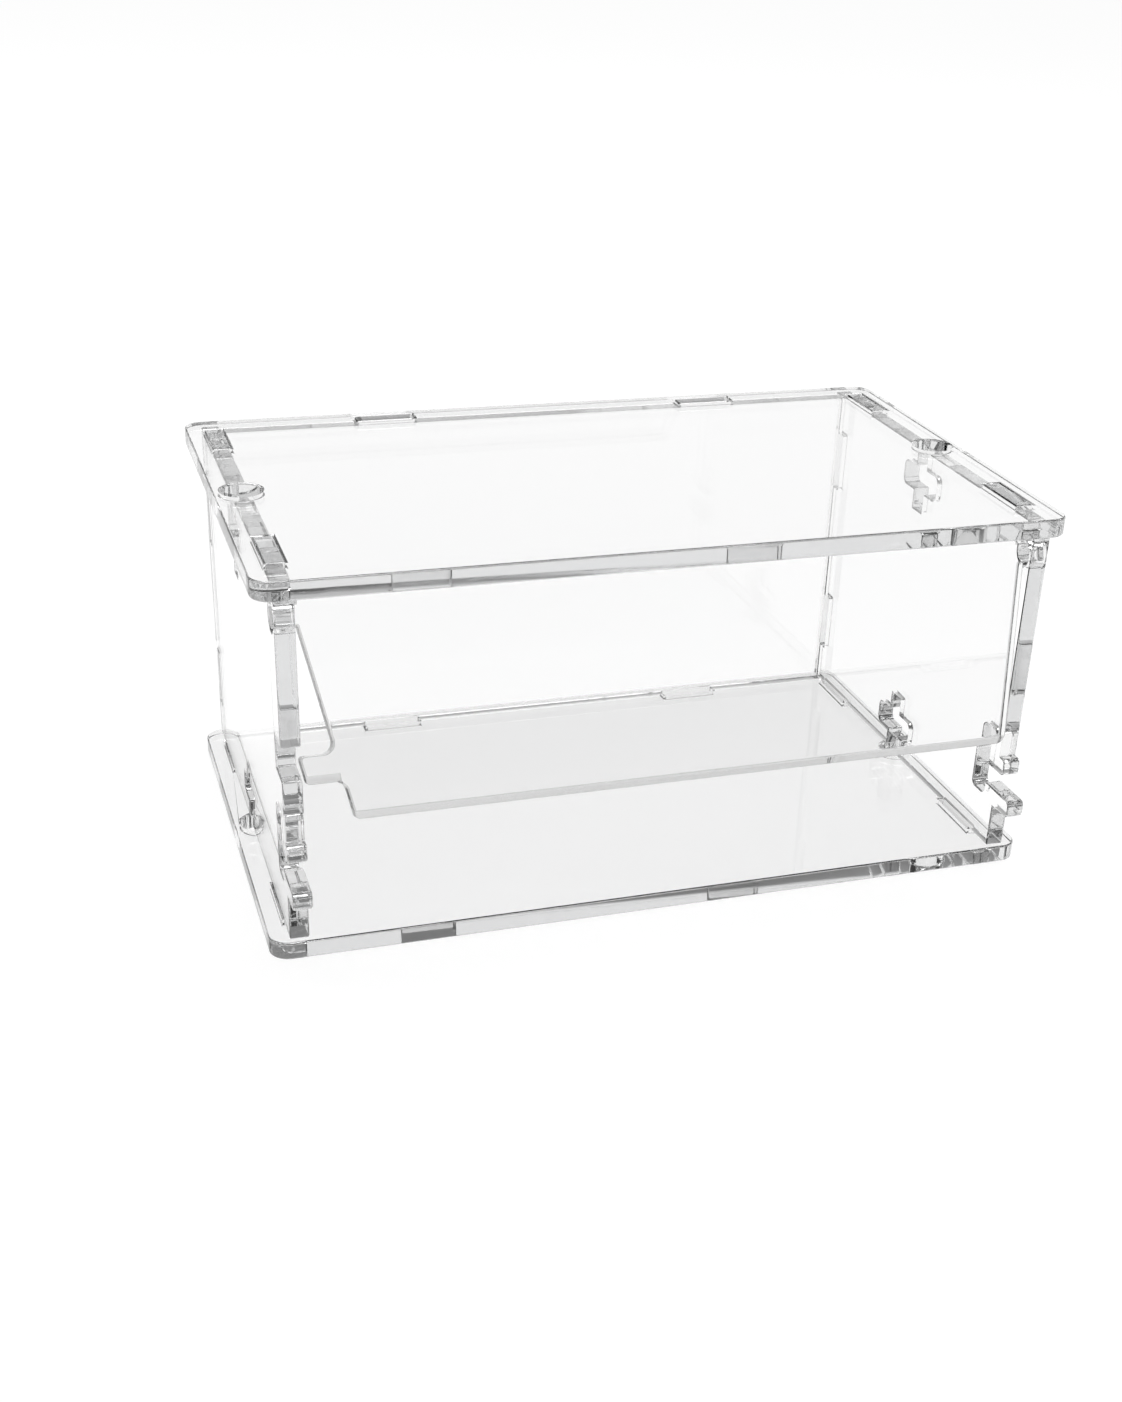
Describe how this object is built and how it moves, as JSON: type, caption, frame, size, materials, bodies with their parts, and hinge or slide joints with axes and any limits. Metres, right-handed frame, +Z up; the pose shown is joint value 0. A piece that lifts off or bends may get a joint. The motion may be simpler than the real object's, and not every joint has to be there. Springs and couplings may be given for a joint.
{
  "type": "acrylic display case",
  "caption": "Clear acrylic display case of tabbed, laser-cut panels with an open lower front and a tilting flap above it.",
  "frame": {"origin": "centre of the base plate's underside", "axes": "+X to the right as seen from the front, +Y to the back, +Z up"},
  "size_m": [0.125, 0.0842, 0.06],
  "materials": {
    "clear_acrylic": "polished sheet with laser-cut edges"
  },
  "bodies": {
    "case": {"base_plate": "clear_acrylic", "top_plate": "clear_acrylic", "left_side_panel": "clear_acrylic", "right_side_panel": "clear_acrylic", "back_panel": "clear_acrylic"},
    "door": {"door_flap": "clear_acrylic"}
  },
  "joints": [
    {"name": "door_hinge", "type": "hinge", "parent": "case", "child": "door", "pos_m": [0, -0.0337, 0.0535], "axis": [-1, 0, 0], "range_deg": [-23.5, 90]}
  ]
}
